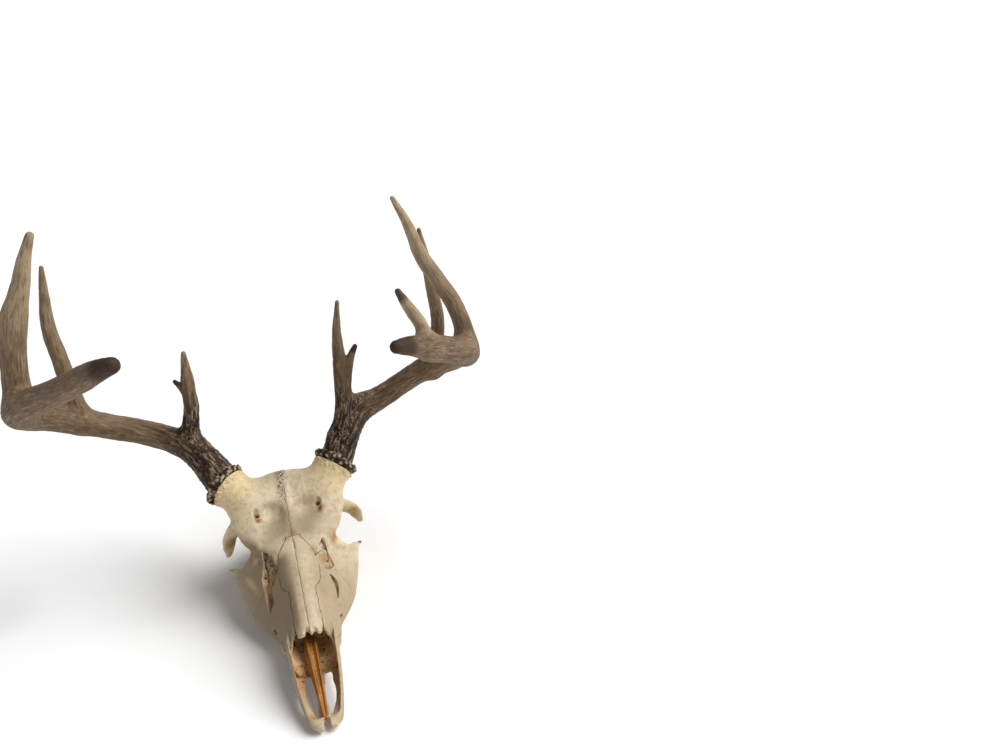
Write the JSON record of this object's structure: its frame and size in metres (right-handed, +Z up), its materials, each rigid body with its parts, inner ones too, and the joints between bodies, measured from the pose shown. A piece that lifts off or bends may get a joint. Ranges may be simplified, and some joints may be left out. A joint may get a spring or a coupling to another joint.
{
  "type": "deer skull",
  "caption": "life-size white-tailed buck skull with its branched antlers, without the lower jaw, a still display model that rests on its cheek teeth",
  "frame": {"origin": "on the floor, at the middle of the outline of skull and antlers seen from above; the crowns of the cheek teeth and the feet of the jugular processes are at z = 0", "axes": "+X is the deer's left side, -Y the way its muzzle points, +Z up"},
  "size_m": [0.452, 0.3396, 0.3996],
  "materials": {
    "bone": "matte",
    "vomer_bone": "satin",
    "antler": "matte",
    "antler_base": "matte"
  },
  "bodies": {
    "root": {"nasal_left": "bone", "nasal_right": "bone", "premaxilla_left": "bone", "premaxilla_right": "bone", "frontal_left": "bone", "frontal_right": "bone", "zygomatic_left": "bone", "zygomatic_right": "bone", "maxilla_left": "bone", "maxilla_right": "bone", "occipital": "bone", "temporal_left": "bone", "temporal_right": "bone", "parietal": "bone", "sphenoid": "bone", "vomer": "vomer_bone", "antler_left_beam_base": "antler_base", "antler_left_brow_tine": "antler", "antler_left_brow_fork_tine": "antler", "antler_left_beam_middle": "antler", "antler_left_second_tine": "antler", "antler_left_beam_bend": "antler", "antler_left_third_tine": "antler", "antler_left_beam_front": "antler", "antler_left_fourth_tine": "antler", "antler_left_beam_tip": "antler", "antler_right_beam_base": "antler_base", "antler_right_brow_tine": "antler", "antler_right_brow_fork_tine": "antler", "antler_right_beam_middle": "antler", "antler_right_second_tine": "antler", "antler_right_beam_bend": "antler", "antler_right_third_tine": "antler", "antler_right_beam_tip": "antler"}
  },
  "joints": []
}
